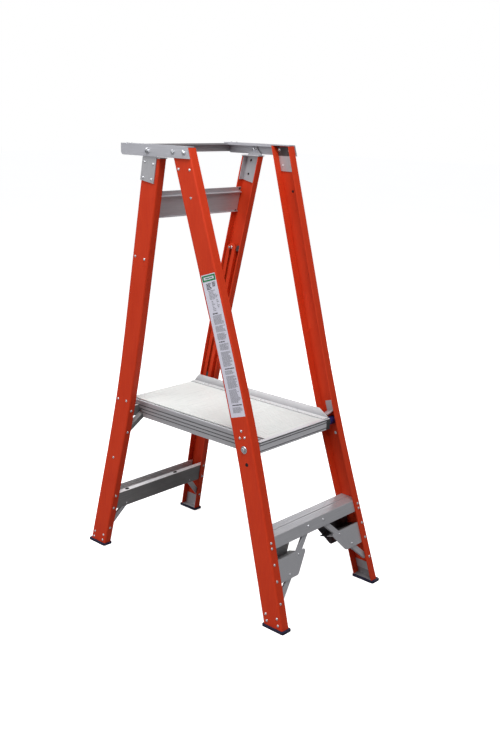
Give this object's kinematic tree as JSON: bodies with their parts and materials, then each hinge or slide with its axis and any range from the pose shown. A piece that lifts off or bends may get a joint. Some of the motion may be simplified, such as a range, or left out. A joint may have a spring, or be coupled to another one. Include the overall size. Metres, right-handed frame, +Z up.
{
  "type": "platform step ladder",
  "caption": "Folding platform step ladder with fibreglass channel stiles, an aluminium platform and step, braced feet and a waist-high guard frame on top.",
  "frame": {"origin": "on the floor, at the middle of the footprint of the four feet", "axes": "+Z up, +Y the way the climber faces (from the front stiles to the rear stiles), +X to the climber's right"},
  "size_m": [0.5442, 1.0148, 1.529],
  "materials": {
    "stile_fibreglass": "satin pultruded fibreglass, safety orange",
    "aluminium": "mill-finish extrusion and sheet",
    "deck_aluminium": "bright ribbed extrusion",
    "fastener_steel": "zinc-plated",
    "foot_rubber": "matt moulded rubber, very dark blue",
    "nylon": "moulded nylon, navy blue"
  },
  "bodies": {
    "front_frame": {"front_stile_left": "stile_fibreglass", "front_stile_right": "stile_fibreglass", "front_foot_pad_left": "foot_rubber", "front_foot_pad_right": "foot_rubber", "front_foot_bracket_left": "aluminium", "front_foot_bracket_right": "aluminium", "front_top_plate_left": "aluminium", "front_top_plate_right": "aluminium", "platform_stop_bracket_left": "aluminium", "platform_stop_bracket_right": "aluminium", "top_side_rail_left": "aluminium", "top_side_rail_right": "aluminium", "top_rear_rail": "aluminium", "top_hinge_bolt_left": "fastener_steel", "top_hinge_bolt_right": "fastener_steel", "rail_bolt_front_left": "fastener_steel", "rail_bolt_front_right": "fastener_steel", "rail_bolt_rear_left": "fastener_steel", "rail_bolt_rear_right": "fastener_steel", "platform_hinge_bolt_left": "fastener_steel", "platform_hinge_bolt_right": "fastener_steel", "platform_hinge_spacer_left": "nylon", "platform_hinge_spacer_right": "nylon", "step": "aluminium", "step_gusset_left": "aluminium", "step_gusset_right": "aluminium", "step_brace_left": "aluminium", "step_brace_right": "aluminium"},
    "rear_frame": {"rear_stile_left": "stile_fibreglass", "rear_stile_right": "stile_fibreglass", "rear_foot_pad_left": "foot_rubber", "rear_foot_pad_right": "foot_rubber", "rear_foot_bracket_left": "aluminium", "rear_foot_bracket_right": "aluminium", "rear_top_bracket_left": "aluminium", "rear_top_bracket_right": "aluminium", "rear_top_cap_left": "aluminium", "rear_top_cap_right": "aluminium", "upper_crossbar": "aluminium", "middle_crossbar": "aluminium", "lower_crossbar": "aluminium", "middle_brace_left": "aluminium", "middle_brace_right": "aluminium", "lower_brace_left": "aluminium", "lower_brace_right": "aluminium", "guide_channel_left": "stile_fibreglass", "guide_channel_right": "stile_fibreglass", "guide_stop_left": "fastener_steel", "guide_stop_right": "fastener_steel"},
    "platform": {"deck_plank_1": "deck_aluminium", "deck_plank_2": "deck_aluminium", "deck_plank_3": "deck_aluminium", "platform_nose": "aluminium", "platform_side_beam_left": "aluminium", "platform_side_beam_right": "aluminium", "kickboard": "aluminium", "platform_rear_rod": "fastener_steel"},
    "guide_shoe_left": {"guide_shoe_left": "nylon"},
    "guide_shoe_right": {"guide_shoe_right": "nylon"}
  },
  "joints": [
    {"name": "rear_fold", "type": "hinge", "parent": "front_frame", "child": "rear_frame", "pos_m": [0, 0.1497, 1.5079], "axis": [-1, 0, 0], "range_deg": [0, 28.98]},
    {"name": "platform_fold", "type": "hinge", "parent": "front_frame", "child": "platform", "pos_m": [0, -0.2868, 0.5747], "axis": [1, 0, 0], "range_deg": [0, 58.6]},
    {"name": "guide_slide_left", "type": "slide", "parent": "rear_frame", "child": "guide_shoe_left", "axis": [-0.0188, -0.2098, 0.9776], "range_m": [0, 0.5376]},
    {"name": "guide_slide_right", "type": "slide", "parent": "rear_frame", "child": "guide_shoe_right", "axis": [0.0188, -0.2098, 0.9776], "range_m": [0, 0.5376]}
  ],
  "couplings": [
    {"joint": "platform_fold", "follows": "rear_fold", "ratio": 2.0205},
    {"joint": "guide_slide_left", "follows": "rear_fold", "m_per_rad": 1.0623},
    {"joint": "guide_slide_right", "follows": "rear_fold", "m_per_rad": 1.0623}
  ]
}
